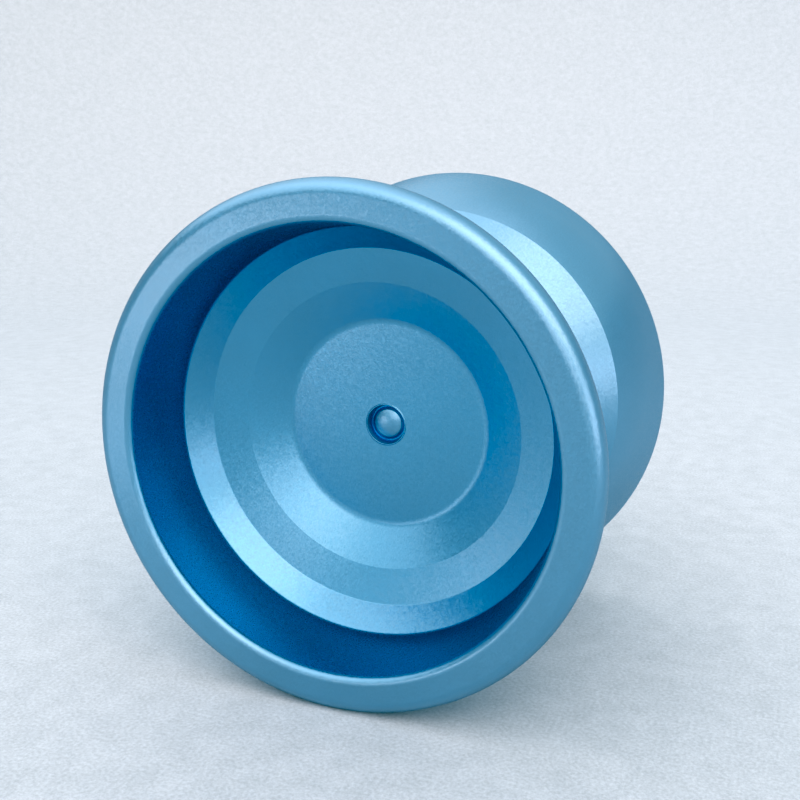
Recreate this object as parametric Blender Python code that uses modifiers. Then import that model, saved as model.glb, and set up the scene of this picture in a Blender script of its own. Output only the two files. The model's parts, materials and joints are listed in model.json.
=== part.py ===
"""Bearing yo-yo: two turned aluminium halves on a threaded axle, with a size C ball bearing between them.

Metres, +Z up. The axle lies along Y, the yo-yo's centre is the origin, and the front half is on the -Y side.
Each turned shape is a profile of (radius, height) points about its own Z axis. The height of a point on
a half is its distance from the middle of the string gap, out towards the rim face.
"""

import math

import bmesh
import bpy
from mathutils import Matrix, Vector

MM = 0.001
OBJECT_NAME = "yo_yo"

# Halves, outside
RIM_RADIUS = 28.0 * MM
HALF_WIDTH = 21.3 * MM
RIM_OUTER_ROUND = 1.55 * MM
RIM_INNER_ROUND = 0.85 * MM
RIM_FACE_WIDTH = 1.9 * MM
CATCH_EDGE = (23.8 * MM, 10.27 * MM)
CATCH_BREAK = (15.5 * MM, 3.6 * MM)
FLANK_END_TILT = 76.0

# Halves, cup
WALL_BASE = (22.95 * MM, 11.8 * MM)
WALL_BASE_ROUND = 0.6 * MM
STEEP_RING_INNER = (20.44 * MM, 9.2 * MM)
SHALLOW_RING_INNER = (16.6 * MM, 7.8 * MM)
HUB_DISC_RADIUS = 12.0 * MM
HUB_DISC_HEIGHT = 5.4 * MM
DIMPLE_RADIUS = 2.4 * MM
DIMPLE_DEPTH = 0.95 * MM
NUB_RADIUS = 1.75 * MM
NUB_HEIGHT = 0.45 * MM
NUB_CROWN = 0.35 * MM

# Halves, string gap
GAP = 4.4 * MM
LANDING_RADIUS = 10.6 * MM
PAD_GROOVE_INNER = 7.15 * MM
PAD_GROOVE_OUTER = 9.6 * MM
PAD_GROOVE_DEPTH = 1.0 * MM
BEARING_POCKET_RADIUS = 6.65 * MM
BEARING_POCKET_DEPTH = 0.35 * MM
SHOULDER_RADIUS = 4.0 * MM
POST_SPACING = 0.4 * MM

# Response pads
PAD_CLEARANCE = 0.05 * MM
PAD_RECESS = 0.07 * MM

# Axle: M4 x 8 set screw, one thread turn is 0.7 mm
AXLE_RADIUS = 1.95 * MM
AXLE_LENGTH = 8.0 * MM
AXLE_CHAMFER = 0.5 * MM
AXLE_HOLE_RADIUS = 2.05 * MM
AXLE_HOLE_END_RADIUS = 1.3 * MM
AXLE_HOLE_SPARE = 0.15 * MM
SOCKET_ACROSS_FLATS = 2.0 * MM
SOCKET_DEPTH = 1.6 * MM

# Bearing, size C: 1/4 in bore, 1/2 in outside, 3/16 in wide, ten 1/16 in balls
BEARING_BORE = 3.175 * MM
BEARING_RADIUS = 6.35 * MM
BEARING_WIDTH = 4.763 * MM
BALL_RADIUS = 0.79375 * MM
BALL_COUNT = 10
PITCH_RADIUS = (BEARING_BORE + BEARING_RADIUS) / 2
INNER_LAND = 4.25 * MM
OUTER_LAND = 5.275 * MM
RACE_CLEARANCE = 0.03 * MM
SHIELD_SEAT = (5.65 * MM, 1.9 * MM)
SNAP_GROOVE_RADIUS = 5.8 * MM
SNAP_GROOVE_LOW = 2.14 * MM
SNAP_GROOVE_HIGH = 2.34 * MM
SNAP_LIP_RADIUS = 5.62 * MM
SEAT_CLEARANCE = 0.05 * MM
SHIELD_THICKNESS = 0.15 * MM
SNAP_RING_INNER = 5.35 * MM
SNAP_RING_OUTER = 5.74 * MM
SNAP_RING_OPENING = 1.6 * MM
CAGE_INNER = 4.4 * MM
CAGE_OUTER = 5.12 * MM
CAGE_LOW = -0.45 * MM
CAGE_HIGH = 1.45 * MM
CAGE_POCKET_RADIUS = 0.86 * MM

# Small chamfers on the post, the pads and the races
EDGE_BREAK = 0.1 * MM

# Facets round each turned shape
HALF_STEPS = 48
BEARING_STEPS = 36
AXLE_STEPS = 24

MERGE_DISTANCE = 0.001 * MM
CUT_MARGIN = 1.0 * MM
TO_FRONT = Matrix.Rotation(math.radians(90), 4, "X")
TO_REAR = Matrix.Rotation(math.radians(-90), 4, "X")


def clear_scene():
    for old in list(bpy.data.objects):
        bpy.data.objects.remove(old, do_unlink=True)


def new_collection(name):
    made = bpy.data.collections.new(name)
    bpy.context.scene.collection.children.link(made)
    return made


def new_material(name, colour, roughness, metallic):
    made = bpy.data.materials.new(name)
    made.use_nodes = True
    made.diffuse_color = (*colour, 1.0)
    shader = made.node_tree.nodes["Principled BSDF"]
    shader.inputs["Base Color"].default_value = (*colour, 1.0)
    shader.inputs["Roughness"].default_value = roughness
    shader.inputs["Metallic"].default_value = metallic
    return made


def arc(centre, radius, start, end, count):
    """Points on a circle in the profile's plane, from start to end in degrees, both ends included."""
    turns = [math.radians(start + (end - start) * i / (count - 1)) for i in range(count)]
    return [(centre[0] + radius * math.cos(t), centre[1] + radius * math.sin(t)) for t in turns]


def bulge(start, end, turn, count):
    """Points after start up to end, on the arc that turns clockwise by this many degrees between them."""
    start, end = Vector(start), Vector(end)
    chord = end - start
    half_turn = math.radians(turn) / 2
    radius = chord.length / (2 * math.sin(half_turn))
    inward = Vector((chord.y, -chord.x)).normalized()
    centre = (start + end) / 2 + inward * radius * math.cos(half_turn)
    first = math.degrees(math.atan2(start.y - centre.y, start.x - centre.x))
    return arc(centre, radius, first, first - turn, count + 1)[1:]


def fillet(before, corner, after, radius, count):
    """Points that round the corner between two straight runs of a profile."""
    before, corner, after = Vector(before), Vector(corner), Vector(after)
    back = (before - corner).normalized()
    ahead = (after - corner).normalized()
    half_angle = back.angle(ahead) / 2
    centre = corner + (back + ahead).normalized() * radius / math.sin(half_angle)
    reach = radius / math.tan(half_angle)
    first = corner + back * reach - centre
    last = corner + ahead * reach - centre
    start = math.degrees(math.atan2(first.y, first.x))
    turn = math.degrees(first.angle_signed(last))
    return arc(centre, radius, start, start - turn, count)


def turned(name, profile, steps, ring, material, home):
    """A solid of revolution about its own Z axis. The middles of its facets keep the profile's radii.

    A facet's middle, not a corner, points along each of its X and Y axes.
    """
    half_step = math.pi / steps
    mesh = bpy.data.meshes.new(name)
    points = [(r, r * math.tan(half_step), h) for r, h in profile]
    edges = [(i, i + 1) for i in range(len(points) - 1)]
    if ring:
        edges.append((len(points) - 1, 0))
    mesh.from_pydata(points, edges, [])
    made = bpy.data.objects.new(name, mesh)
    made.data.materials.append(material)
    home.objects.link(made)
    screw = made.modifiers.new("Turn", "SCREW")
    screw.axis = "Z"
    screw.angle = 2 * math.pi
    screw.steps = steps
    screw.render_steps = steps
    screw.use_smooth_shade = True
    screw.use_merge_vertices = True
    screw.merge_threshold = MERGE_DISTANCE
    return made


def cut(target, cutter):
    cutter.hide_render = True
    cutter.display_type = "WIRE"
    boolean = target.modifiers.new("Cut " + cutter.name, "BOOLEAN")
    boolean.operation = "DIFFERENCE"
    boolean.object = cutter
    boolean.solver = "EXACT"


def cutter_object(name, shape, home):
    mesh = bpy.data.meshes.new(name)
    shape.to_mesh(mesh)
    shape.free()
    made = bpy.data.objects.new(name, mesh)
    home.objects.link(made)
    return made


def ball_centre(index):
    turn = 2 * math.pi * (index + 0.5) / BALL_COUNT
    return Vector((PITCH_RADIUS * math.cos(turn), 0.0, PITCH_RADIUS * math.sin(turn)))


def cup_profile():
    """From the nub on the axis, across the hub disc and the dish, and up the wall to the rim face."""
    dimple_floor = HUB_DISC_HEIGHT - DIMPLE_DEPTH
    nub_side = dimple_floor + NUB_HEIGHT - NUB_CROWN
    face_outer = RIM_RADIUS - RIM_OUTER_ROUND
    face_inner = face_outer - RIM_FACE_WIDTH
    lip_centre = (face_inner, HALF_WIDTH - RIM_INNER_ROUND)
    wall_top = (face_inner - RIM_INNER_ROUND, lip_centre[1])
    crown = [
        (NUB_RADIUS * math.sin(t), nub_side + NUB_CROWN * math.cos(t))
        for t in (0.0, math.radians(30), math.radians(60), math.radians(90))
    ]
    return [
        *crown,
        (NUB_RADIUS, dimple_floor),
        (DIMPLE_RADIUS, dimple_floor),
        (DIMPLE_RADIUS, HUB_DISC_HEIGHT),
        (HUB_DISC_RADIUS, HUB_DISC_HEIGHT),
        SHALLOW_RING_INNER,
        STEEP_RING_INNER,
        *fillet(STEEP_RING_INNER, WALL_BASE, wall_top, WALL_BASE_ROUND, 3),
        *arc(lip_centre, RIM_INNER_ROUND, 180, 90, 4),
    ]


def outside_profile():
    """From the rim face, round the rim and along the flank and the catch zone, to the flat round the pad."""
    round_centre = (RIM_RADIUS - RIM_OUTER_ROUND, HALF_WIDTH - RIM_OUTER_ROUND)
    rim_round = arc(round_centre, RIM_OUTER_ROUND, 90, FLANK_END_TILT - 90, 7)
    chord = Vector(rim_round[-1]) - Vector(CATCH_EDGE)
    flank_turn = 2 * (FLANK_END_TILT - math.degrees(math.atan2(chord.y, chord.x)))
    return [
        *rim_round,
        *bulge(rim_round[-1], CATCH_EDGE, flank_turn, 4),
        CATCH_BREAK,
        (LANDING_RADIUS, GAP / 2),
    ]


def seat_profile():
    """The pad groove, the bearing pocket, the post that carries the bearing and the hole for the axle."""
    face = GAP / 2
    groove_floor = face + PAD_GROOVE_DEPTH
    shoulder = BEARING_WIDTH / 2 + RACE_CLEARANCE
    pocket_floor = shoulder + BEARING_POCKET_DEPTH
    post_radius = BEARING_BORE - SEAT_CLEARANCE
    post_end = POST_SPACING / 2
    hole_end = AXLE_LENGTH / 2 + AXLE_HOLE_SPARE
    return [
        (PAD_GROOVE_OUTER, face),
        (PAD_GROOVE_OUTER, groove_floor),
        (PAD_GROOVE_INNER, groove_floor),
        (PAD_GROOVE_INNER, face),
        (BEARING_POCKET_RADIUS, face),
        (BEARING_POCKET_RADIUS, pocket_floor),
        (SHOULDER_RADIUS, pocket_floor),
        (SHOULDER_RADIUS, shoulder),
        (post_radius, shoulder),
        (post_radius, post_end + EDGE_BREAK),
        (post_radius - EDGE_BREAK, post_end),
        (AXLE_HOLE_RADIUS, post_end),
        (AXLE_HOLE_RADIUS, hole_end - AXLE_CHAMFER),
        (AXLE_HOLE_END_RADIUS, hole_end),
        (0.0, hole_end),
    ]


def make_half(name, placement, material, home):
    profile = cup_profile() + outside_profile() + seat_profile()
    half = turned(name, profile, HALF_STEPS, False, material, home)
    half.matrix_world = placement
    return half


def make_pad(name, placement, material, home):
    inner = PAD_GROOVE_INNER + PAD_CLEARANCE
    outer = PAD_GROOVE_OUTER - PAD_CLEARANCE
    low = GAP / 2 + PAD_RECESS
    high = GAP / 2 + PAD_GROOVE_DEPTH - PAD_CLEARANCE
    edge = EDGE_BREAK
    profile = [
        (outer, high),
        (outer, low + edge),
        (outer - edge, low),
        (inner + edge, low),
        (inner, low + edge),
        (inner, high),
    ]
    pad = turned(name, profile, HALF_STEPS, True, material, home)
    pad.matrix_world = placement
    return pad


def make_axle(material, home, cutters):
    end = AXLE_LENGTH / 2
    chamfer_radius = AXLE_RADIUS - AXLE_CHAMFER
    profile = [
        (0.0, end),
        (chamfer_radius, end),
        (AXLE_RADIUS, end - AXLE_CHAMFER),
        (AXLE_RADIUS, AXLE_CHAMFER - end),
        (chamfer_radius, -end),
        (0.0, -end),
    ]
    axle = turned("axle", profile, AXLE_STEPS, False, material, home)
    shape = bmesh.new()
    bmesh.ops.create_cone(
        shape,
        cap_ends=True,
        segments=6,
        radius1=SOCKET_ACROSS_FLATS / math.sqrt(3),
        radius2=SOCKET_ACROSS_FLATS / math.sqrt(3),
        depth=SOCKET_DEPTH + CUT_MARGIN,
        matrix=Matrix.Translation((0, 0, end - SOCKET_DEPTH / 2 + CUT_MARGIN / 2)),
    )
    socket = cutter_object("axle_socket_cutter", shape, cutters)
    cut(axle, socket)
    for piece in (axle, socket):
        piece.matrix_world = TO_REAR


def groove_arc(towards_axis):
    """The ball track in a race, as far as it is cut into the land, from its top to its bottom or back."""
    track = BALL_RADIUS + RACE_CLEARANCE
    land = INNER_LAND if towards_axis else OUTER_LAND
    half_angle = math.degrees(math.acos(abs(land - PITCH_RADIUS) / track))
    if towards_axis:
        return arc((PITCH_RADIUS, 0), track, 180 - half_angle, 180 + half_angle, 5)
    return arc((PITCH_RADIUS, 0), track, -half_angle, half_angle, 5)


def make_inner_race(material, home):
    end = BEARING_WIDTH / 2
    edge = EDGE_BREAK
    profile = [
        (INNER_LAND - edge, end),
        (INNER_LAND, end - edge),
        *groove_arc(towards_axis=True),
        (INNER_LAND, edge - end),
        (INNER_LAND - edge, -end),
        (BEARING_BORE + edge, -end),
        (BEARING_BORE, edge - end),
        (BEARING_BORE, end - edge),
        (BEARING_BORE + edge, end),
    ]
    race = turned("bearing_inner_race", profile, BEARING_STEPS, True, material, home)
    race.matrix_world = TO_REAR


def make_outer_race(material, home):
    end = BEARING_WIDTH / 2
    edge = EDGE_BREAK
    step_up = [
        (OUTER_LAND, SHIELD_SEAT[1]),
        SHIELD_SEAT,
        (SHIELD_SEAT[0], SNAP_GROOVE_LOW),
        (SNAP_GROOVE_RADIUS, SNAP_GROOVE_LOW),
        (SNAP_GROOVE_RADIUS, SNAP_GROOVE_HIGH),
        (SNAP_LIP_RADIUS, SNAP_GROOVE_HIGH),
        (SNAP_LIP_RADIUS, end),
    ]
    profile = [
        (BEARING_RADIUS - edge, end),
        (BEARING_RADIUS, end - edge),
        (BEARING_RADIUS, edge - end),
        (BEARING_RADIUS - edge, -end),
        *((r, -h) for r, h in reversed(step_up)),
        *groove_arc(towards_axis=False),
        *step_up,
    ]
    race = turned("bearing_outer_race", profile, BEARING_STEPS, True, material, home)
    race.matrix_world = TO_REAR


def make_cage(material, home, cutters):
    """A crown retainer: a ring beside the balls, with prongs that reach between them."""
    profile = [
        (CAGE_OUTER, CAGE_HIGH),
        (CAGE_OUTER, CAGE_LOW),
        (CAGE_INNER, CAGE_LOW),
        (CAGE_INNER, CAGE_HIGH),
    ]
    cage = turned("bearing_cage", profile, BEARING_STEPS, True, material, home)
    cage.matrix_world = TO_REAR
    shape = bmesh.new()
    for index in range(BALL_COUNT):
        bmesh.ops.create_uvsphere(
            shape,
            u_segments=12,
            v_segments=8,
            radius=CAGE_POCKET_RADIUS,
            matrix=Matrix.Translation(ball_centre(index)),
        )
    cut(cage, cutter_object("cage_pocket_cutter", shape, cutters))
    return cage


def make_balls(material, home, cage):
    for index in range(BALL_COUNT):
        mesh = bpy.data.meshes.new("ball")
        shape = bmesh.new()
        bmesh.ops.create_icosphere(shape, subdivisions=2, radius=BALL_RADIUS)
        shape.to_mesh(mesh)
        shape.free()
        mesh.shade_smooth()
        ball = bpy.data.objects.new(f"ball_{index + 1}", mesh)
        ball.data.materials.append(material)
        home.objects.link(ball)
        ball.parent = cage
        ball.matrix_parent_inverse = cage.matrix_world.inverted()
        ball.location = ball_centre(index)


def make_shield(name, placement, material, home):
    low = SHIELD_SEAT[1] + SEAT_CLEARANCE
    high = low + SHIELD_THICKNESS
    inner = INNER_LAND + 2 * SEAT_CLEARANCE
    outer = SHIELD_SEAT[0] - SEAT_CLEARANCE
    profile = [(outer, high), (outer, low), (inner, low), (inner, high)]
    shield = turned(name, profile, BEARING_STEPS, True, material, home)
    shield.matrix_world = placement


def make_snap_ring(name, placement, material, home, cutters):
    """The open wire ring that holds a shield in its seat."""
    low = SNAP_GROOVE_LOW + RACE_CLEARANCE
    high = SNAP_GROOVE_HIGH - RACE_CLEARANCE
    profile = [
        (SNAP_RING_OUTER, high),
        (SNAP_RING_OUTER, low),
        (SNAP_RING_INNER, low),
        (SNAP_RING_INNER, high),
    ]
    snap_ring = turned(name, profile, BEARING_STEPS, True, material, home)
    snap_ring.matrix_world = placement
    shape = bmesh.new()
    size = Vector((SNAP_RING_OPENING, 2 * MM, CUT_MARGIN))
    place = Matrix.Translation((0, SNAP_RING_OUTER, high))
    bmesh.ops.create_cube(shape, size=1.0, matrix=place @ Matrix.Diagonal(size).to_4x4())
    opening = cutter_object(name + "_opening_cutter", shape, cutters)
    opening.matrix_world = placement
    cut(snap_ring, opening)


def main():
    clear_scene()
    parts = new_collection(OBJECT_NAME)
    cutters = new_collection("cutters")
    anodised = new_material("anodised_aluminium", (0.11, 0.39, 0.60), 0.38, 1.0)
    bearing_steel = new_material("bearing_steel", (0.62, 0.62, 0.63), 0.18, 1.0)
    ball_steel = new_material("ball_steel", (0.75, 0.75, 0.76), 0.06, 1.0)
    shield_steel = new_material("shield_steel", (0.55, 0.55, 0.56), 0.3, 1.0)
    cage_steel = new_material("cage_steel", (0.48, 0.46, 0.42), 0.35, 1.0)
    axle_steel = new_material("axle_steel", (0.10, 0.10, 0.11), 0.42, 1.0)
    silicone = new_material("silicone", (0.82, 0.82, 0.80), 0.6, 0.0)

    make_half("front_half", TO_FRONT, anodised, parts)
    make_half("rear_half", TO_REAR, anodised, parts)
    make_pad("front_response_pad", TO_FRONT, silicone, parts)
    make_pad("rear_response_pad", TO_REAR, silicone, parts)
    make_axle(axle_steel, parts, cutters)
    make_inner_race(bearing_steel, parts)
    make_outer_race(bearing_steel, parts)
    cage = make_cage(cage_steel, parts, cutters)
    make_balls(ball_steel, parts, cage)
    for side, placement in (("front", TO_FRONT), ("rear", TO_REAR)):
        make_shield(side + "_shield", placement, shield_steel, parts)
        make_snap_ring(side + "_snap_ring", placement, bearing_steel, parts, cutters)


main()
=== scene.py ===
"""Looks of the bearing yo-yo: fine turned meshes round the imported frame, materials, stage, light and camera.

Metres, +Z up, the axle along Y with the front half at -Y. A turned piece is a profile of (radius, height)
points. On a half, height is the distance from the middle of the string gap.
"""

import json
import math

import bmesh
import bpy
from mathutils import Matrix, Vector

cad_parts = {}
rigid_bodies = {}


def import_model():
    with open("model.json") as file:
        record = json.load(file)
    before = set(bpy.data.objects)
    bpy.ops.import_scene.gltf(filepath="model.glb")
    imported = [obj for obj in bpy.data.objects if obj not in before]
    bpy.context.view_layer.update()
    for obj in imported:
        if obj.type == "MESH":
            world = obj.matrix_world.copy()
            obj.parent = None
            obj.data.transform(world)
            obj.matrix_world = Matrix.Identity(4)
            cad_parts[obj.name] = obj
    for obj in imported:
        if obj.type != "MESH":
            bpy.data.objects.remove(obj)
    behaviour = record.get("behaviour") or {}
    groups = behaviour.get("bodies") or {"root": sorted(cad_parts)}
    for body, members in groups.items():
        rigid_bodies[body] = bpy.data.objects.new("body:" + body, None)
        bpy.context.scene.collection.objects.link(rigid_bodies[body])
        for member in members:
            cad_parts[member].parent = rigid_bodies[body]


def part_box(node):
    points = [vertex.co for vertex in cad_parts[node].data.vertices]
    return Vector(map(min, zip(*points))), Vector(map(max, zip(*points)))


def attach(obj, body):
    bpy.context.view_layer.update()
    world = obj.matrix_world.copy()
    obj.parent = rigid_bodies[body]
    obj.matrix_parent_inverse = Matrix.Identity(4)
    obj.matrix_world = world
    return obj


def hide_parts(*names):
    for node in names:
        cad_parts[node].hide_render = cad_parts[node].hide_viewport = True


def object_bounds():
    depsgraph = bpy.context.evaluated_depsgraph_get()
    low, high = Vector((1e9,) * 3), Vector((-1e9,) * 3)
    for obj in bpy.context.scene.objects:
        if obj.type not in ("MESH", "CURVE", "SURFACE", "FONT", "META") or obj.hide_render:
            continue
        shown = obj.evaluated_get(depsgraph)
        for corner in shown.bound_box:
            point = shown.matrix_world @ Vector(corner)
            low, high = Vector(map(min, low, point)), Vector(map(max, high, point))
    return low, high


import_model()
cad_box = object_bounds()

# Every length below is in millimetres, and every angle in degrees, unless its comment says otherwise
MM = 0.001
TURN_STEPS = 256
TO_FRONT = Matrix.Rotation(math.radians(90), 4, "X")
TO_REAR = Matrix.Rotation(math.radians(-90), 4, "X")
EDGE_BREAK = 0.05
MERGE_METRES = 1e-7

# The half's size comes from the CAD nodes, less a hair that keeps the fine meshes inside their box
INSET = 0.0001
HALF_WIDTH = -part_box("front_half")[0].y / MM - INSET
RIM_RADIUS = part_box("front_half")[1].x / MM - INSET
RIM_OUTER_ROUND = 1.55
RIM_INNER_ROUND = 0.85
RIM_FACE_WIDTH = 1.9
FLANK_END_TILT = 76.0

# The cup, from its wall to the hub disc
WALL_BASE = (22.95, 11.8)
WALL_FILLET = 0.6
STEEP_RING_INNER = (20.44, 9.2)
SHALLOW_RING_INNER = (16.6, 7.8)
RING_FILLET = 0.3
HUB_RADIUS = 12.0
HUB_HEIGHT = 5.4
HUB_FILLET = 1.8

# The dimple in the hub disc, with a raised bead round it and a domed nub in it
DIMPLE_RADIUS = 2.3
DIMPLE_FLOOR_RADIUS = 2.08
DIMPLE_FLOOR = 4.45
BEAD_RISE = 0.08
BEAD_WIDTH = 0.08
BEAD_FOOT = 0.18
BEAD_ROUND = 0.04
NUB_RADIUS = 1.93
NUB_TOP = 5.08
NUB_DOME = 4.0
NUB_DOME_EDGE = 1.62

# The gap side of a half, from the catch zone to the post that carries the bearing
CATCH_EDGE = (23.8, 10.27)
CATCH_EDGE_ROUND = 0.08
CATCH_BREAK = (15.5, 3.6)
CATCH_BREAK_ROUND = 1.2
HALF_GAP = 2.2
LANDING_RADIUS = 10.6
LANDING_ROUND = 0.3
PAD_GROOVE_INNER = 7.15
PAD_GROOVE_OUTER = 9.6
PAD_GROOVE_FLOOR = 3.2
POCKET_RADIUS = 6.65
POCKET_FLOOR = 2.7615
SHOULDER = (4.0, 2.4115)
POST_RADIUS = 3.125
POST_END = 0.2
POST_ROUND = 0.12
AXLE_HOLE_RADIUS = 2.05
AXLE_HOLE_END = 4.15
AXLE_HOLE_TIP_RADIUS = 1.3
AXLE_HOLE_ROUND = 0.1

# A response pad lies in its groove with a gap at its sides and bottom, and a little below the gap's face
PAD_GAP = 0.05
PAD_SINK = 0.07
PAD_ROUND = 0.18

# Axle, an M4 set screw. The flats of its thread are parts of half a pitch from the middle of a crest
AXLE_RADIUS = 1.95
AXLE_LENGTH = 8.0
AXLE_CHAMFER = 0.5
THREAD_PITCH = 0.7
THREAD_DEPTH = 0.38
THREAD_CREST = 0.12
THREAD_ROOT = 0.84
THREAD_STEPS = 96
ROWS_PER_PITCH = 10
SOCKET_ACROSS_FLATS = 2.0
SOCKET_DEPTH = 1.6

# Bearing, size C, whose heights are measured from its middle
BEARING_END = 4.763 / 2
BORE_RADIUS = 3.175
OUTER_RADIUS = 6.35
BORE_ROUND = 0.12
OUTER_ROUND = 0.14
INNER_LAND = 4.25
OUTER_LAND = 5.275
LAND_ROUND = 0.08
PITCH_RADIUS = 4.7625
TRACK_RADIUS = 0.82
BALL_COUNT = 10
BALL_RADIUS = 0.79375
BALL_SEGMENTS = 32

# The crown: its pockets are a little larger than the balls. Its ring of vertices is turned by an angle that
# keeps them off the pockets' planes, where a Boolean would leave slivers
CROWN_INNER = 4.4
CROWN_OUTER = 5.12
CROWN_TIPS = -0.45
CROWN_BACK = 1.45
CROWN_TIP_ROUND = 0.08
CROWN_BACK_ROUND = 0.1
CROWN_STEPS = 128
CROWN_TURN = 0.7
POCKET_BALL_RADIUS = 0.84
POCKET_SEGMENTS = 24

# A shield rests on a seat in the outer race, and a wire ring snaps into the groove above it. The shield's rim
# and its face each lie between a lower and an upper height, with a step between them
SHIELD_SEAT = (5.65, 1.9)
SNAP_GROOVE_RADIUS = 5.8
SNAP_GROOVE_LOW = 2.14
SNAP_GROOVE_HIGH = 2.34
SEAT_MOUTH_RADIUS = 5.62
SHIELD_RADIUS = 5.6
SHIELD_HOLE_RADIUS = 4.36
SHIELD_STEP_INNER = 5.1
SHIELD_STEP_OUTER = 5.2
SHIELD_STEP_INNER_TOP = 5.08
SHIELD_RIM = (1.95, 2.09)
SHIELD_FACE = (1.99, 2.11)
SHIELD_BREAK = 0.04
SHIELD_BEND = 0.06
SNAP_RING_RADIUS = 5.66
SNAP_RING_HEIGHT = 2.245
SNAP_WIRE_RADIUS = 0.075
SNAP_RING_OPENING = 17.0
SNAP_RING_POINTS = 120


# ---------------------------------------------------------------- profiles


def arc(centre, radius, start, end, count):
    """Points on a circle from start to end in degrees, both ends included."""
    turns = [math.radians(start + (end - start) * i / (count - 1)) for i in range(count)]
    return [(centre[0] + radius * math.cos(t), centre[1] + radius * math.sin(t)) for t in turns]


def bulge(start, end, turn, count):
    """Points after start up to end, on the arc that turns clockwise by this many degrees between them."""
    start, end = Vector(start), Vector(end)
    chord = end - start
    half_turn = math.radians(turn) / 2
    radius = chord.length / (2 * math.sin(half_turn))
    inward = Vector((chord.y, -chord.x)).normalized()
    centre = (start + end) / 2 + inward * radius * math.cos(half_turn)
    first = math.degrees(math.atan2(start.y - centre.y, start.x - centre.x))
    return arc(centre, radius, first, first - turn, count + 1)[1:]


def round_corner(before, here, after, radius, count):
    """Points on the arc that rounds one corner of a profile."""
    back = (before - here).normalized()
    ahead = (after - here).normalized()
    half_angle = back.angle(ahead) / 2
    centre = here + (back + ahead).normalized() * radius / math.sin(half_angle)
    reach = radius / math.tan(half_angle)
    first = here + back * reach - centre
    last = here + ahead * reach - centre
    turn = first.angle_signed(last)
    start = math.atan2(first.y, first.x)
    angles = [start - turn * k / (count - 1) for k in range(count)]
    return [centre + radius * Vector((math.cos(angle), math.sin(angle))) for angle in angles]


def rounded(corners, closed=False, arc_points=7, support=0.04):
    """A profile of corners (radius, height, rounding), with a point close to each end of a long flat.

    Those points keep smooth shading flat between the roundings. A corner without a rounding stays sharp.
    """
    count = len(corners)
    path = []
    for i, corner in enumerate(corners):
        here = Vector(corner[:2])
        radius = corner[2] if len(corner) > 2 else 0.0
        if radius and (closed or 0 < i < count - 1):
            before, after = Vector(corners[i - 1][:2]), Vector(corners[(i + 1) % count][:2])
            path += round_corner(before, here, after, radius, arc_points)
        else:
            path.append(here)
    if closed:
        path.append(path[0])
    made = [path[0]]
    for before, after in zip(path, path[1:]):
        run = after - before
        if run.length > 4 * support:
            made += [before + run.normalized() * support, after - run.normalized() * support]
        made.append(after)
    if closed:
        made.pop()
    return [tuple(p) for p in made]


def ramp(value, low, high):
    """0 below low, 1 above high, and a straight line between them."""
    return min(1.0, max(0.0, (value - low) / (high - low)))


# ---------------------------------------------------------------- mesh tools


def add_object(name, data):
    made = bpy.data.objects.new(name, data)
    bpy.context.scene.collection.objects.link(made)
    return made


def evaluated_mesh(made):
    """A new mesh of an object as it looks with its modifiers or its bevel."""
    graph = bpy.context.evaluated_depsgraph_get()
    return bpy.data.meshes.new_from_object(made.evaluated_get(graph))


def settle(made):
    """Replaces an object's mesh by its evaluated one, with every modifier applied."""
    final = evaluated_mesh(made)
    made.modifiers.clear()
    made.data = final


def shade(mesh, sharp_angle):
    """Smooth shading with sharp edges wherever faces meet at more than an angle."""
    mesh.shade_smooth()
    mesh.set_sharp_from_angle(angle=math.radians(sharp_angle))


def turned(name, profile, placement, steps=TURN_STEPS, ring=True):
    """A solid of revolution of a profile, placed so that its heights run along Y."""
    mesh = bpy.data.meshes.new(name)
    edges = [(i, i + 1) for i in range(len(profile) - 1)]
    if ring:
        edges.append((len(profile) - 1, 0))
    mesh.from_pydata([(r * MM, 0.0, h * MM) for r, h in profile], edges, [])
    made = add_object(name, mesh)
    screw = made.modifiers.new("Turn", "SCREW")
    screw.axis = "Z"
    screw.steps = steps
    screw.render_steps = steps
    screw.use_smooth_shade = True
    screw.use_merge_vertices = True
    screw.merge_threshold = MERGE_METRES
    settle(made)
    made.data.transform(placement)
    return made


def mesh_from(shape, name):
    """Turns a bmesh into a mesh and frees it."""
    mesh = bpy.data.meshes.new(name)
    shape.to_mesh(mesh)
    shape.free()
    return mesh


def subtract(target, cutter):
    boolean = target.modifiers.new("Cut", "BOOLEAN")
    boolean.operation = "DIFFERENCE"
    boolean.object = cutter
    boolean.solver = "EXACT"
    settle(target)
    bpy.data.objects.remove(cutter)


def finish_piece(made, body, node, material):
    made.data.materials.clear()
    made.data.materials.append(material)
    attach(made, body)
    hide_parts(node)


# ---------------------------------------------------------------- the two halves


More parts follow.
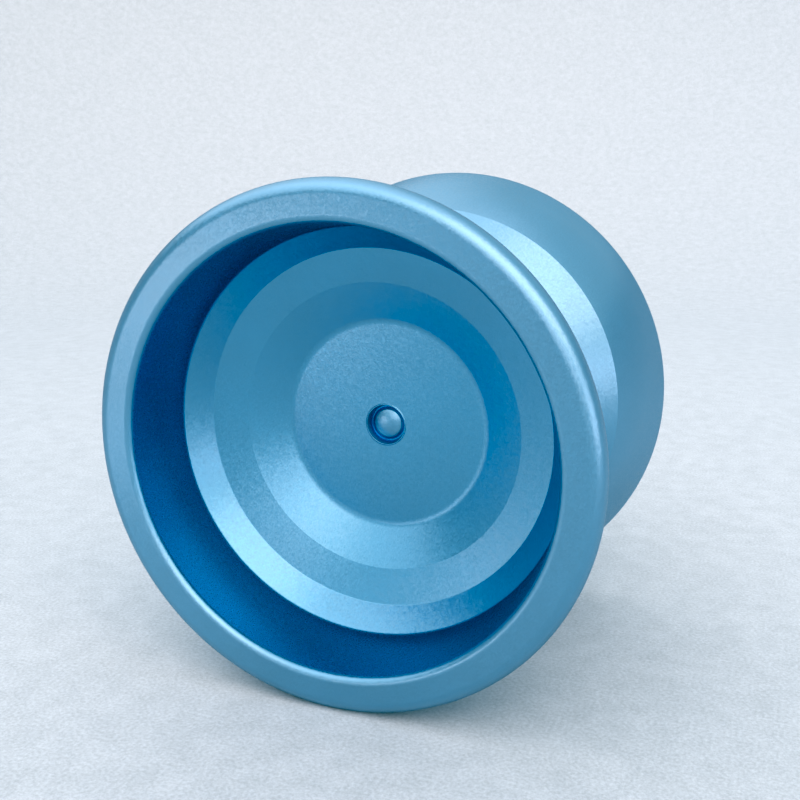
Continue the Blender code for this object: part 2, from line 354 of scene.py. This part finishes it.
def cup_profile():
    """From the middle of the nub, over the dimple, the hub disc, the rings and the wall, to the rim face."""
    bead = HUB_HEIGHT + BEAD_RISE
    dome_end = math.degrees(math.acos(NUB_DOME_EDGE / NUB_DOME))
    face_outer = RIM_RADIUS - RIM_OUTER_ROUND
    corners = [
        *arc((0.0, NUB_TOP - NUB_DOME), NUB_DOME, 90, dome_end, count=9),
        (NUB_RADIUS, DIMPLE_FLOOR, EDGE_BREAK),
        (DIMPLE_FLOOR_RADIUS, DIMPLE_FLOOR, EDGE_BREAK),
        (DIMPLE_RADIUS, bead, BEAD_ROUND),
        (DIMPLE_RADIUS + BEAD_WIDTH, bead, BEAD_ROUND),
        (DIMPLE_RADIUS + BEAD_FOOT, HUB_HEIGHT, 2 * BEAD_ROUND),
        (HUB_RADIUS, HUB_HEIGHT, HUB_FILLET),
        (*SHALLOW_RING_INNER, RING_FILLET),
        (*STEEP_RING_INNER, RING_FILLET),
        (*WALL_BASE, WALL_FILLET),
        (face_outer - RIM_FACE_WIDTH - RIM_INNER_ROUND, HALF_WIDTH, RIM_INNER_ROUND),
        (face_outer, HALF_WIDTH),
    ]
    return rounded(corners, arc_points=9)


def gap_profile(flank_end):
    """From the last of the flank, over the catch zone, the pad's groove and the post, to the axle's hole."""
    return rounded(
        [
            flank_end,
            (*CATCH_EDGE, CATCH_EDGE_ROUND),
            (*CATCH_BREAK, CATCH_BREAK_ROUND),
            (LANDING_RADIUS, HALF_GAP, LANDING_ROUND),
            (PAD_GROOVE_OUTER, HALF_GAP, EDGE_BREAK),
            (PAD_GROOVE_OUTER, PAD_GROOVE_FLOOR),
            (PAD_GROOVE_INNER, PAD_GROOVE_FLOOR),
            (PAD_GROOVE_INNER, HALF_GAP, EDGE_BREAK),
            (POCKET_RADIUS, HALF_GAP, EDGE_BREAK),
            (POCKET_RADIUS, POCKET_FLOOR, EDGE_BREAK),
            (SHOULDER[0], POCKET_FLOOR, EDGE_BREAK),
            (*SHOULDER, EDGE_BREAK),
            (POST_RADIUS, SHOULDER[1]),
            (POST_RADIUS, POST_END, POST_ROUND),
            (AXLE_HOLE_RADIUS, POST_END, AXLE_HOLE_ROUND),
            (AXLE_HOLE_RADIUS, AXLE_HOLE_END - AXLE_CHAMFER),
            (AXLE_HOLE_TIP_RADIUS, AXLE_HOLE_END),
            (0.0, AXLE_HOLE_END),
        ]
    )


def half_profile():
    rim_centre = (RIM_RADIUS - RIM_OUTER_ROUND, HALF_WIDTH - RIM_OUTER_ROUND)
    rim = arc(rim_centre, RIM_OUTER_ROUND, 90, FLANK_END_TILT - 90, count=24)[1:]
    chord = Vector(rim[-1]) - Vector(CATCH_EDGE)
    flank_turn = 2 * (FLANK_END_TILT - math.degrees(math.atan2(chord.y, chord.x)))
    flank = bulge(rim[-1], CATCH_EDGE, flank_turn, count=20)
    return cup_profile() + rim + flank[:-2] + gap_profile(flank[-2])


# The dimple's painted shade reaches just past its side, and starts above the end of the axle's hole behind it.
# It is faint on the nub's dome, deeper on its bevel and full at its foot, with a short run from one to the
# next
DIMPLE_SHADE_RADIUS = DIMPLE_RADIUS + 0.01
DIMPLE_SHADE_HEIGHT = AXLE_HOLE_END + 0.1
DOME_SHADE_DEPTH = 0.1
BEVEL_SHADE_DEPTH = 0.5
NUB_BLEND = 0.1
DIMPLE_BLEND = 0.3

# Depth of painted shade in the cup's dish, the heights above the wall's foot between which it grows to the
# wall's full painted shade, and the depths below the rim's face between which the wall's painted shade comes
# in
DISH_SHADE_DEPTH = 0.5
WALL_BLEND = (-0.2, 0.5)
RIM_BLEND = (0.1, 0.9)

# The cup's painted shade ends at the mouth's radius, and at a cone that runs inside the metal behind the rings
MOUTH_RADIUS = 24.2
BACK_RADIUS = 13.0
BACK_HEIGHT = 4.3
BACK_SLOPE = 0.6


def dimple_shade_depth(radius, height):
    """Depth of painted shade in the dimple, which grows from the nub's dome to its foot and fades out at the
    bead.
    """
    bevel = ramp(radius, NUB_DOME_EDGE - NUB_BLEND, NUB_DOME_EDGE)
    foot = ramp(radius, NUB_RADIUS - NUB_BLEND, NUB_RADIUS)
    tone = DOME_SHADE_DEPTH + (BEVEL_SHADE_DEPTH - DOME_SHADE_DEPTH) * bevel + (1 - BEVEL_SHADE_DEPTH) * foot
    return tone * ramp(HUB_HEIGHT + BEAD_RISE - height, 0.0, DIMPLE_BLEND)


def painted_shade_depth(radius, height):
    """Depth of painted shade: 0 on the rim and outside, 0.5 in the cup's dish, 1 on its wall and in the
    dimple.
    """
    if radius < DIMPLE_SHADE_RADIUS and height > DIMPLE_SHADE_HEIGHT:
        return dimple_shade_depth(radius, height)
    if radius > MOUTH_RADIUS or height < BACK_HEIGHT + BACK_SLOPE * max(0.0, radius - BACK_RADIUS):
        return 0.0
    towards_wall = ramp(height, WALL_BASE[1] + WALL_BLEND[0], WALL_BASE[1] + WALL_BLEND[1])
    tone = DISH_SHADE_DEPTH + (1 - DISH_SHADE_DEPTH) * towards_wall
    return tone * ramp(HALF_WIDTH - height, *RIM_BLEND)


def make_halves(material):
    profile = half_profile()
    for side, placement in (("front", TO_FRONT), ("rear", TO_REAR)):
        half = turned(side + "_half_body", profile, placement, ring=False)
        # Each vertex keeps its depth of painted shade, which the aluminium's material reads
        tone = half.data.attributes.new("painted_shade_depth", "FLOAT", "POINT")
        for vertex, entry in zip(half.data.vertices, tone.data):
            x, y, z = vertex.co / MM
            entry.value = painted_shade_depth(math.hypot(x, z), abs(y))
        finish_piece(half, side + "_half", side + "_half", material)


def make_pads(material):
    inner, outer = PAD_GROOVE_INNER + PAD_GAP, PAD_GROOVE_OUTER - PAD_GAP
    low, high = HALF_GAP + PAD_SINK, PAD_GROOVE_FLOOR - PAD_GAP
    corners = [
        (outer, high, EDGE_BREAK),
        (outer, low, PAD_ROUND),
        (inner, low, PAD_ROUND),
        (inner, high, EDGE_BREAK),
    ]
    profile = rounded(corners, closed=True)
    for side, placement, body in (("front", TO_FRONT, "front_half"), ("rear", TO_REAR, "rear_carrier")):
        pad = turned(side + "_silicone_pad", profile, placement)
        finish_piece(pad, body, side + "_response_pad", material)


# ---------------------------------------------------------------- axle


def thread_radius(height, turn):
    """Radius of a thread with flat crests and roots, at a height and a turn in radians."""
    phase = (height / THREAD_PITCH - turn / (2 * math.pi)) % 1.0
    off_crest = abs(2 * phase - 1)
    return AXLE_RADIUS - THREAD_DEPTH * ramp(off_crest, THREAD_CREST, THREAD_ROOT)


def thread_mesh(name):
    """The screw's outside as rings of vertices, with a thread that runs out in a chamfer at both ends."""
    rows = round(AXLE_LENGTH / THREAD_PITCH * ROWS_PER_PITCH)
    shape = bmesh.new()
    grid = []
    for row in range(rows + 1):
        height = AXLE_LENGTH * (row / rows - 0.5)
        cone = AXLE_RADIUS - AXLE_CHAMFER + (AXLE_LENGTH / 2 - abs(height))
        ring = []
        for step in range(THREAD_STEPS):
            turn = 2 * math.pi * step / THREAD_STEPS
            radius = min(cone, thread_radius(height, turn)) * MM
            ring.append(shape.verts.new((radius * math.cos(turn), radius * math.sin(turn), height * MM)))
        grid.append(ring)
    for low, high in zip(grid, grid[1:]):
        for i in range(THREAD_STEPS):
            j = (i + 1) % THREAD_STEPS
            shape.faces.new((low[i], low[j], high[j], high[i]))
    shape.faces.new(list(reversed(grid[0])))
    shape.faces.new(grid[-1])
    return mesh_from(shape, name)


def socket_mesh(name):
    """A hexagonal cutter that reaches a millimetre past the screw's end."""
    depth = (SOCKET_DEPTH + 1) * MM
    place = Matrix.Translation((0, 0, (AXLE_LENGTH / 2 - SOCKET_DEPTH) * MM + depth / 2))
    corner = SOCKET_ACROSS_FLATS / math.sqrt(3) * MM
    shape = bmesh.new()
    bmesh.ops.create_cone(
        shape, cap_ends=True, segments=6, radius1=corner, radius2=corner, depth=depth, matrix=place
    )
    return mesh_from(shape, name)


def make_axle(material):
    axle = add_object("axle_screw", thread_mesh("axle_screw"))
    subtract(axle, add_object("socket", socket_mesh("socket")))
    axle.data.transform(TO_REAR)
    shade(axle.data, sharp_angle=35)
    finish_piece(axle, "front_half", "axle", material)


# ---------------------------------------------------------------- bearing


def track(land, start_turn):
    """The ball groove of a race, between its two corners on the land."""
    half_angle = math.degrees(math.acos(abs(land - PITCH_RADIUS) / TRACK_RADIUS))
    return arc((PITCH_RADIUS, 0), TRACK_RADIUS, start_turn - half_angle, start_turn + half_angle, count=13)


def make_races(material):
    inner = rounded(
        [
            (INNER_LAND, BEARING_END, LAND_ROUND),
            *track(INNER_LAND, 180),
            (INNER_LAND, -BEARING_END, LAND_ROUND),
            (BORE_RADIUS, -BEARING_END, BORE_ROUND),
            (BORE_RADIUS, BEARING_END, BORE_ROUND),
        ],
        closed=True,
    )
    seat = [
        (OUTER_LAND, SHIELD_SEAT[1]),
        SHIELD_SEAT,
        (SHIELD_SEAT[0], SNAP_GROOVE_LOW),
        (SNAP_GROOVE_RADIUS, SNAP_GROOVE_LOW),
        (SNAP_GROOVE_RADIUS, SNAP_GROOVE_HIGH),
        (SEAT_MOUTH_RADIUS, SNAP_GROOVE_HIGH),
        (SEAT_MOUTH_RADIUS, BEARING_END),
    ]
    outer = rounded(
        [
            (OUTER_RADIUS, BEARING_END, OUTER_ROUND),
            (OUTER_RADIUS, -BEARING_END, OUTER_ROUND),
            *((r, -h) for r, h in reversed(seat)),
            *track(OUTER_LAND, 0),
            *seat,
        ],
        closed=True,
        support=0.02,
    )
    race = turned("bearing_inner_ring", inner, TO_REAR)
    finish_piece(race, "front_half", "bearing_inner_race", material)
    race = turned("bearing_outer_ring", outer, TO_REAR)
    race.data.set_sharp_from_angle(angle=math.radians(50))
    finish_piece(race, "bearing_outer", "bearing_outer_race", material)


def ball_centre(index):
    turn = 2 * math.pi * (index + 0.5) / BALL_COUNT
    return Vector((PITCH_RADIUS * math.cos(turn), 0.0, PITCH_RADIUS * math.sin(turn))) * MM


def sphere_mesh(name, radius, centres, segments):
    shape = bmesh.new()
    for centre in centres:
        place = Matrix.Translation(centre)
        bmesh.ops.create_uvsphere(
            shape, u_segments=segments, v_segments=segments // 2, radius=radius * MM, matrix=place
        )
    return mesh_from(shape, name)


def make_cage(material, centres):
    profile = rounded(
        [
            (CROWN_OUTER, CROWN_BACK, CROWN_BACK_ROUND),
            (CROWN_OUTER, CROWN_TIPS, CROWN_TIP_ROUND),
            (CROWN_INNER, CROWN_TIPS, CROWN_TIP_ROUND),
            (CROWN_INNER, CROWN_BACK, CROWN_BACK_ROUND),
        ],
        closed=True,
    )
    cage = turned("bearing_crown", profile, TO_REAR, CROWN_STEPS)
    cage.data.transform(Matrix.Rotation(math.radians(CROWN_TURN), 4, "Y"))
    pockets = sphere_mesh("pockets", POCKET_BALL_RADIUS, centres, POCKET_SEGMENTS)
    subtract(cage, add_object("pockets", pockets))
    shade(cage.data, sharp_angle=40)
    finish_piece(cage, "bearing_cage", "bearing_cage", material)


def make_balls(material, centres):
    for index, centre in enumerate(centres):
        name = f"ball_{index + 1}"
        ball = add_object(f"steel_{name}", sphere_mesh(name, BALL_RADIUS, [centre], BALL_SEGMENTS))
        ball.data.shade_smooth()
        finish_piece(ball, name, name, material)


def make_shields(material, ring_material):
    """Each shield is pressed with a shallow step, and an open wire ring snaps in above it."""
    dish = rounded(
        [
            (SHIELD_RADIUS, SHIELD_RIM[1], SHIELD_BREAK),
            (SHIELD_RADIUS, SHIELD_RIM[0], SHIELD_BREAK),
            (SHIELD_STEP_OUTER, SHIELD_RIM[0], SHIELD_BEND),
            (SHIELD_STEP_INNER, SHIELD_FACE[0], SHIELD_BEND),
            (SHIELD_HOLE_RADIUS, SHIELD_FACE[0], SHIELD_BREAK),
            (SHIELD_HOLE_RADIUS, SHIELD_FACE[1], SHIELD_BREAK),
            (SHIELD_STEP_INNER_TOP, SHIELD_FACE[1], SHIELD_BEND),
            (SHIELD_STEP_OUTER, SHIELD_RIM[1], SHIELD_BREAK),
        ],
        closed=True,
        arc_points=4,
        support=0.02,
    )
    for side, placement in (("front", TO_FRONT), ("rear", TO_REAR)):
        shield = turned(side + "_bearing_shield", dish, placement)
        finish_piece(shield, "bearing_outer", side + "_shield", material)
        make_snap_ring(side, placement, ring_material)


def make_snap_ring(side, placement, material):
    """Round wire bent to a ring that is open over a few degrees, with closed ends."""
    name = side + "_wire_ring"
    curve = bpy.data.curves.new(name, "CURVE")
    curve.dimensions = "3D"
    curve.bevel_depth = SNAP_WIRE_RADIUS * MM
    curve.bevel_resolution = 3
    curve.use_fill_caps = True
    spline = curve.splines.new("POLY")
    opening = math.radians(SNAP_RING_OPENING)
    spline.points.add(SNAP_RING_POINTS - 1)
    for i, point in enumerate(spline.points):
        turn = math.pi / 2 + opening / 2 + (2 * math.pi - opening) * i / (SNAP_RING_POINTS - 1)
        x, y = SNAP_RING_RADIUS * MM * math.cos(turn), SNAP_RING_RADIUS * MM * math.sin(turn)
        point.co = (x, y, SNAP_RING_HEIGHT * MM, 1)
    wire = add_object(name + "_curve", curve)
    mesh = evaluated_mesh(wire)
    bpy.data.objects.remove(wire)
    shape = bmesh.new()
    shape.from_mesh(mesh)
    bmesh.ops.remove_doubles(shape, verts=shape.verts, dist=MERGE_METRES)
    shape.to_mesh(mesh)
    shape.free()
    mesh.transform(placement)
    shade(mesh, sharp_angle=50)
    finish_piece(add_object(name, mesh), "bearing_outer", side + "_snap_ring", material)


# ---------------------------------------------------------------- materials


class Nodes:
    """A short way to build a node tree."""

    def __init__(self, tree):
        self.tree = tree

    def add(self, kind, inputs=None, **settings):
        node = self.tree.nodes.new(kind)
        for key, value in settings.items():
            setattr(node, key, value)
        self.feed(node, inputs or {})
        return node

    def feed(self, node, inputs):
        for key, value in inputs.items():
            self.plug(node.inputs[key], value)

    def plug(self, socket, value):
        if isinstance(value, bpy.types.NodeSocket):
            self.tree.links.new(value, socket)
        elif isinstance(value, bpy.types.Node):
            self.tree.links.new(value.outputs[0], socket)
        else:
            socket.default_value = value

    def maths(self, operation, *values):
        node = self.add("ShaderNodeMath", dict(enumerate(values)), operation=operation)
        return node.outputs[0]

    def vector(self, operation, inputs):
        """Vector maths, as the node, because some operations give a value and not a vector."""
        return self.add("ShaderNodeVectorMath", inputs, operation=operation)

    def scaled(self, value, low, high, new_low, new_high):
        entries = (value, low, high, new_low, new_high)
        return self.add("ShaderNodeMapRange", dict(enumerate(entries))).outputs[0]

    def mixed(self, value, low, high, first, last):
        """A colour that goes from the first to the last while a value goes from low to high."""
        inputs = {"Factor": self.scaled(value, low, high, 0.0, 1.0), "A": (*first, 1.0), "B": (*last, 1.0)}
        return self.add("ShaderNodeMix", inputs, data_type="RGBA").outputs["Result"]

    def noise(self, position, size, detail=2.0, roughness=0.5):
        """Noise whose features are about this many millimetres across."""
        inputs = {"Vector": position, "Scale": 1 / (size * MM), "Detail": detail, "Roughness": roughness}
        return self.add("ShaderNodeTexNoise", inputs).outputs["Fac"]

    def bump(self, height, strength, distance):
        inputs = {"Height": height, "Strength": strength, "Distance": distance * MM}
        return self.add("ShaderNodeBump", inputs)

    def position(self):
        return self.add("ShaderNodeTexCoord").outputs["Object"]


def new_material(name):
    made = bpy.data.materials.new(name)
    made.use_nodes = True
    nodes = Nodes(made.node_tree)
    shader = made.node_tree.nodes["Principled BSDF"]
    return made, nodes, shader


# The dye's colour outside the cup. In the cup it carries painted shade: without red, darker in the dish and
# deeper blue on the wall
DYE_OUTSIDE = (0.055, 0.26, 0.445, 1.0)
DYE_WITH_DISH_SHADE = (0.0, 0.228, 0.432, 1.0)
DYE_WITH_WALL_SHADE = (0.0, 0.26, 0.515, 1.0)
PATCH_SIZE = 9.0
CRATER_SIZE = 0.17
GRAIN_SIZE = 0.16


def dye_with_painted_shade(nodes, place, depth, cell):
    """The dye's colour with painted shade that deepens it in the cup and the dimple, a little uneven over the
    surface and from crater to crater.
    """
    tone = nodes.add("ShaderNodeValToRGB", {"Fac": depth})
    tone.color_ramp.elements[0].color = DYE_OUTSIDE
    tone.color_ramp.elements[1].color = DYE_WITH_WALL_SHADE
    tone.color_ramp.elements.new(DISH_SHADE_DEPTH).color = DYE_WITH_DISH_SHADE
    patches = nodes.noise(place, PATCH_SIZE, 3.0)
    uneven = nodes.scaled(patches, 0.35, 0.65, 0.94, 1.0)
    value = nodes.maths("ADD", uneven, nodes.maths("MULTIPLY", cell, 0.06))
    return nodes.add("ShaderNodeHueSaturation", {"Color": tone, "Value": value})


def crater_normal(nodes, place, depth, craters):
    """Fine grain everywhere, and a tilt for each crater that fades out on the cup's wall."""
    grain = nodes.bump(nodes.noise(place, GRAIN_SIZE, 3.0, 0.65), 0.08, 0.03)
    tilt = nodes.vector("SUBTRACT", {0: craters, 1: (0.5, 0.5, 0.5)})
    tilt = nodes.vector("SCALE", {0: tilt, "Scale": nodes.scaled(depth, DISH_SHADE_DEPTH, 0.8, 0.07, 0.0)})
    return nodes.vector("NORMALIZE", {0: nodes.vector("ADD", {0: grain, 1: tilt})})


def anodised_aluminium():
    """Bead-blasted, dyed anodised aluminium: fine craters that sparkle, under a thin clear oxide."""
    made, nodes, shader = new_material("anodised_aluminium")
    place = nodes.position()
    # Painted shade: this depth deepens the colour in the cup and the dimple, and also smooths the wall and
    # takes the clear coat off it
    depth = nodes.add("ShaderNodeAttribute", attribute_name="painted_shade_depth").outputs["Fac"]
    pattern = {"Vector": place, "Scale": 1 / (CRATER_SIZE * MM)}
    craters = nodes.add("ShaderNodeTexVoronoi", pattern, feature="F1").outputs["Color"]
    cell = nodes.add("ShaderNodeSeparateXYZ", {0: craters}).outputs["X"]
    normal = crater_normal(nodes, place, depth, craters)
    smoother = nodes.scaled(depth, DISH_SHADE_DEPTH, 1.0, 1.0, 0.58)
    roughness = nodes.maths("MULTIPLY", smoother, nodes.scaled(cell, 0.0, 1.0, 0.30, 0.46))
    off_wall = nodes.scaled(depth, DISH_SHADE_DEPTH, 1.0, 1.0, 0.0)
    facing = nodes.add("ShaderNodeLayerWeight", {"Blend": 0.5}).outputs["Facing"]
    coat = nodes.maths("MULTIPLY", off_wall, nodes.scaled(facing, 0.5, 0.9, 1.0, 0.35))
    looks = {
        "Base Color": dye_with_painted_shade(nodes, place, depth, cell),
        "Metallic": 1.0,
        "Roughness": roughness,
        "Normal": normal,
        "Specular Tint": (0.65, 0.68, 0.72, 1.0),
        "Coat Weight": coat,
        "Coat Roughness": 0.30,
        "Coat IOR": 2.2,
        "Coat Normal": normal,
    }
    nodes.feed(shader, looks)
    return made


# Colour and roughness of each steel, then the size and strength of its grinding lines
STEELS = {
    "bearing_steel": ((0.60, 0.60, 0.61), 0.16, 0.05, 0.25),
    "ball_steel": ((0.72, 0.72, 0.73), 0.05, 0.3, 0.05),
    "shield_steel": ((0.55, 0.55, 0.56), 0.28, 0.08, 0.35),
    "cage_steel": ((0.46, 0.44, 0.40), 0.34, 0.12, 0.4),
}


def steel(name, colour, roughness, line_size, line_strength):
    """Ground steel: faint circular grinding lines, from noise stretched round the axle."""
    made, nodes, shader = new_material(name)
    place = nodes.position()
    parts = nodes.add("ShaderNodeSeparateXYZ", {0: place}).outputs
    squares = [nodes.maths("MULTIPLY", parts[axis], parts[axis]) for axis in ("X", "Z")]
    radius = nodes.maths("SQRT", nodes.maths("ADD", *squares))
    across = nodes.add("ShaderNodeCombineXYZ", {"X": radius, "Y": parts["Y"]})
    lines = nodes.noise(across, line_size, 4.0, 0.7)
    smudge = nodes.noise(place, 2.0)
    looks = {
        "Base Color": (*colour, 1.0),
        "Metallic": 1.0,
        "Roughness": nodes.scaled(smudge, 0.3, 0.7, roughness * 0.8, roughness * 1.25),
        "Normal": nodes.bump(lines, line_strength, 0.01),
    }
    nodes.feed(shader, looks)
    return made


def black_oxide():
    """Blackened steel with worn, paler stains."""
    made, nodes, shader = new_material("axle_black_oxide")
    stain = nodes.noise(nodes.position(), 0.7, 4.0, 0.6)
    looks = {
        "Base Color": nodes.mixed(stain, 0.4, 0.7, (0.035, 0.037, 0.042), (0.085, 0.082, 0.08)),
        "Metallic": 0.85,
        "Roughness": nodes.scaled(stain, 0.3, 0.7, 0.28, 0.5),
        "Normal": nodes.bump(stain, 0.3, 0.01),
    }
    nodes.feed(shader, looks)
    return made


def silicone():
    """Translucent white silicone with a little dust on it."""
    made, nodes, shader = new_material("silicone")
    dust = nodes.noise(nodes.position(), 0.25, 4.0, 0.7)
    looks = {
        "Base Color": nodes.mixed(dust, 0.45, 0.75, (0.80, 0.81, 0.80), (0.66, 0.68, 0.68)),
        "Roughness": nodes.scaled(dust, 0.3, 0.7, 0.45, 0.65),
        "Subsurface Weight": 0.6,
        "Subsurface Radius": (1.0, 1.0, 1.0),
        "Subsurface Scale": 0.6 * MM,
        "Normal": nodes.bump(dust, 0.25, 0.02),
    }
    nodes.feed(shader, looks)
    return made


# Distances in metres from the yo-yo between which painted shade makes the paper darker and stronger in colour
PAPER_SHADE_NEAR = 0.08
PAPER_SHADE_FAR = 0.58


def paper():
    """Pale studio paper: mottled and fibrous, with painted shade that makes it a little darker and bluer far
    away.
    """
    made, nodes, shader = new_material("studio_paper")
    place = nodes.position()
    mottle = nodes.noise(place, 3.0, 5.0, 0.6)
    fibre = nodes.noise(place, 0.4, 3.0, 0.75)
    both = nodes.maths("ADD", nodes.maths("MULTIPLY", mottle, 0.3), nodes.maths("MULTIPLY", fibre, 0.8))
    distance = nodes.vector("LENGTH", {0: place}).outputs["Value"]
    tone = {
        "Color": nodes.mixed(both, 0.4, 0.7, (0.399, 0.458, 0.510), (0.550, 0.626, 0.694)),
        # Painted shade: darker and more saturated with distance from the yo-yo
        "Value": nodes.scaled(distance, PAPER_SHADE_NEAR, PAPER_SHADE_FAR, 1.0, 0.89),
        "Saturation": nodes.scaled(distance, PAPER_SHADE_NEAR, PAPER_SHADE_FAR, 1.0, 1.1),
    }
    looks = {
        "Base Color": nodes.add("ShaderNodeHueSaturation", tone),
        "Roughness": 0.9,
        "Normal": nodes.bump(fibre, 0.2, 0.2),
    }
    nodes.feed(shader, looks)
    return made


# ---------------------------------------------------------------- stage, light and camera


def direction(azimuth, elevation):
    """The way from the yo-yo towards a light or camera. Azimuth 0 is at -Y and 90 at +X."""
    a, e = math.radians(azimuth), math.radians(elevation)
    return Vector((math.sin(a) * math.cos(e), -math.cos(a) * math.cos(e), math.sin(e)))


# The paper is flat out to the sweep, which turns it up to an edge. The edge is given in degrees round the
# sweep's arc: low in front, and high between two azimuths, behind the yo-yo and at its left
STAGE_STEPS = 144
FLAT_RADII = (60.0, 150.0)
SWEEP_START = 280.0
SWEEP_RADIUS = 340.0
SWEEP_POINTS = 24
EDGE_LOW = -20.0
EDGE_HIGH = -1.0
HIGH_FROM = 80.0
HIGH_TO = 330.0
EDGE_BLEND = 32.0


def paper_edge(azimuth):
    """Where the paper's edge lies on its sweep, in degrees."""
    rise = ramp(azimuth, HIGH_FROM, HIGH_FROM + EDGE_BLEND) * ramp(HIGH_TO - azimuth, 0.0, EDGE_BLEND)
    return EDGE_LOW + (EDGE_HIGH - EDGE_LOW) * rise * rise * (3 - 2 * rise)


def make_stage(material):
    """A round sheet of paper that turns up into a low wall, with the yo-yo standing in its middle."""
    floor = cad_box[0].z / MM
    verts, faces = [(0.0, 0.0, floor * MM)], []
    for step in range(STAGE_STEPS):
        azimuth = 360.0 * step / STAGE_STEPS
        profile = [(radius, floor) for radius in FLAT_RADII]
        sweep_centre = (SWEEP_START, floor + SWEEP_RADIUS)
        profile += arc(sweep_centre, SWEEP_RADIUS, -90, paper_edge(azimuth), SWEEP_POINTS)
        way = direction(azimuth, 0.0)
        verts += [(way.x * r * MM, way.y * r * MM, h * MM) for r, h in profile]
    row = len(profile)
    for step in range(STAGE_STEPS):
        here, there = 1 + step * row, 1 + (step + 1) % STAGE_STEPS * row
        faces.append((0, here, there))
        faces += [(here + i, here + i + 1, there + i + 1, there + i) for i in range(row - 1)]
    mesh = bpy.data.meshes.new("stage_paper")
    mesh.from_pydata(verts, [], faces)
    mesh.shade_smooth()
    mesh.materials.append(material)
    add_object("stage_paper", mesh)


# Name, azimuth, elevation, distance, width and height in metres, radiance and colour of each card
SOFT_CARDS = (
    ("left_card", -31, -1, 0.22, 0.085, 0.048, 1.55, (1.2, 0.97, 0.9)),
    ("right_card", 62, 4, 0.30, 0.20, 0.10, 1.6, (1.15, 0.97, 0.93)),
    ("low_card", -40, -11, 0.11, 0.05, 0.012, 0.6, (1.1, 0.97, 0.95)),
    ("front_card", 14, 8, 0.45, 0.40, 0.14, 1.5, (1.2, 0.97, 0.9)),
)


def soft_card(subject, name, azimuth, elevation, distance, width, height, radiance, colour):
    """A soft rectangular light that faces the yo-yo and lights the objects of one collection."""
    light = bpy.data.lights.new(name, "AREA")
    light.shape = "RECTANGLE"
    light.size = width
    light.size_y = height
    light.energy = radiance * math.pi * width * height
    light.color = colour
    lamp = add_object(name, light)
    lamp.visible_camera = False
    lamp.light_linking.receiver_collection = subject
    way = direction(azimuth, elevation)
    lamp.location = way * distance
    lamp.rotation_euler = way.to_track_quat("Z", "Y").to_euler()


def lit_by_cards():
    """A collection of every piece made so far, for the cards to light."""
    subject = bpy.data.collections.new("lit_by_cards")
    for piece in bpy.context.scene.objects:
        if piece.type == "MESH":
            subject.objects.link(piece)
    return subject


# Light that comes from everywhere, then each patch: azimuth, elevation, inner angle, outer angle and light
WORLD_BASE = (0.80, 0.90, 0.95)
WORLD_PATCHES = (
    (34, 28, 16, 46, (2.6, 1.88, 1.5)),
    (-48, 38, 12, 44, (0.8, 0.68, 0.64)),
    (-15, 76, 5, 45, (0.85, 0.65, 0.6)),
    (-120, 36, 12, 46, (0.6, 0.5, 0.46)),
)


def soft_disc(nodes, way, azimuth, elevation, inner, outer, colour):
    """A round patch of world light, full inside its inner angle and none beyond its outer one."""
    towards = nodes.vector("DOT_PRODUCT", {0: way, 1: direction(azimuth, elevation)})
    limits = (math.cos(math.radians(outer)), math.cos(math.radians(inner)), 0.0, 1.0)
    inputs = dict(enumerate((towards.outputs["Value"], *limits)))
    edge = nodes.add("ShaderNodeMapRange", inputs, interpolation_type="SMOOTHSTEP")
    return nodes.vector("SCALE", {0: colour, "Scale": edge.outputs[0]})


def make_world():
    world = bpy.data.worlds.new("studio")
    bpy.context.scene.world = world
    world.use_nodes = True
    nodes = Nodes(world.node_tree)
    way = nodes.add("ShaderNodeTexCoord").outputs["Generated"]
    light = nodes.add("ShaderNodeCombineXYZ", dict(enumerate(WORLD_BASE)))
    for patch in WORLD_PATCHES:
        light = nodes.vector("ADD", {0: light, 1: soft_disc(nodes, way, *patch)})
    nodes.feed(world.node_tree.nodes["Background"], {"Color": light})


# The camera's distance and nearest view are in metres, and its aim is moved off the yo-yo's middle
CAMERA_AZIMUTH = 21.28
CAMERA_ELEVATION = 13.08
CAMERA_DISTANCE = 0.12227
CAMERA_LENS = 46.0
CAMERA_SENSOR = 36.0
CAMERA_NEAREST = 0.005
AIM_RIGHT = -0.35
AIM_UP = 1.67


def make_camera():
    camera = bpy.data.cameras.new("camera")
    camera.sensor_width = CAMERA_SENSOR
    camera.lens = CAMERA_LENS
    camera.clip_start = CAMERA_NEAREST
    eye = add_object("camera", camera)
    back = direction(CAMERA_AZIMUTH, CAMERA_ELEVATION)
    turn = back.to_track_quat("Z", "Y")
    aim = turn @ Vector((AIM_RIGHT * MM, AIM_UP * MM, 0.0))
    eye.location = aim + back * CAMERA_DISTANCE
    eye.rotation_euler = turn.to_euler()
    bpy.context.scene.camera = eye


VIEW_GAMMA = 0.87
VIEW_EXPOSURE = 0.14
BLACK_LEVEL = (0.05, 0.0, 0.0)


def set_view():
    """A little more light and contrast, and less red in the darkest tones."""
    view = bpy.context.scene.view_settings
    view.view_transform = "Standard"
    view.gamma = VIEW_GAMMA
    view.exposure = VIEW_EXPOSURE
    view.use_curve_mapping = True
    view.curve_mapping.black_level = BLACK_LEVEL


def make_yo_yo():
    aluminium = anodised_aluminium()
    steels = {name: steel(name, *look) for name, look in STEELS.items()}
    centres = [ball_centre(i) for i in range(BALL_COUNT)]
    make_halves(aluminium)
    make_pads(silicone())
    make_axle(black_oxide())
    make_races(steels["bearing_steel"])
    make_cage(steels["cage_steel"], centres)
    make_balls(steels["ball_steel"], centres)
    make_shields(steels["shield_steel"], steels["bearing_steel"])


def main():
    make_yo_yo()
    subject = lit_by_cards()
    make_stage(paper())
    make_world()
    for card in SOFT_CARDS:
        soft_card(subject, *card)
    make_camera()
    set_view()


main()
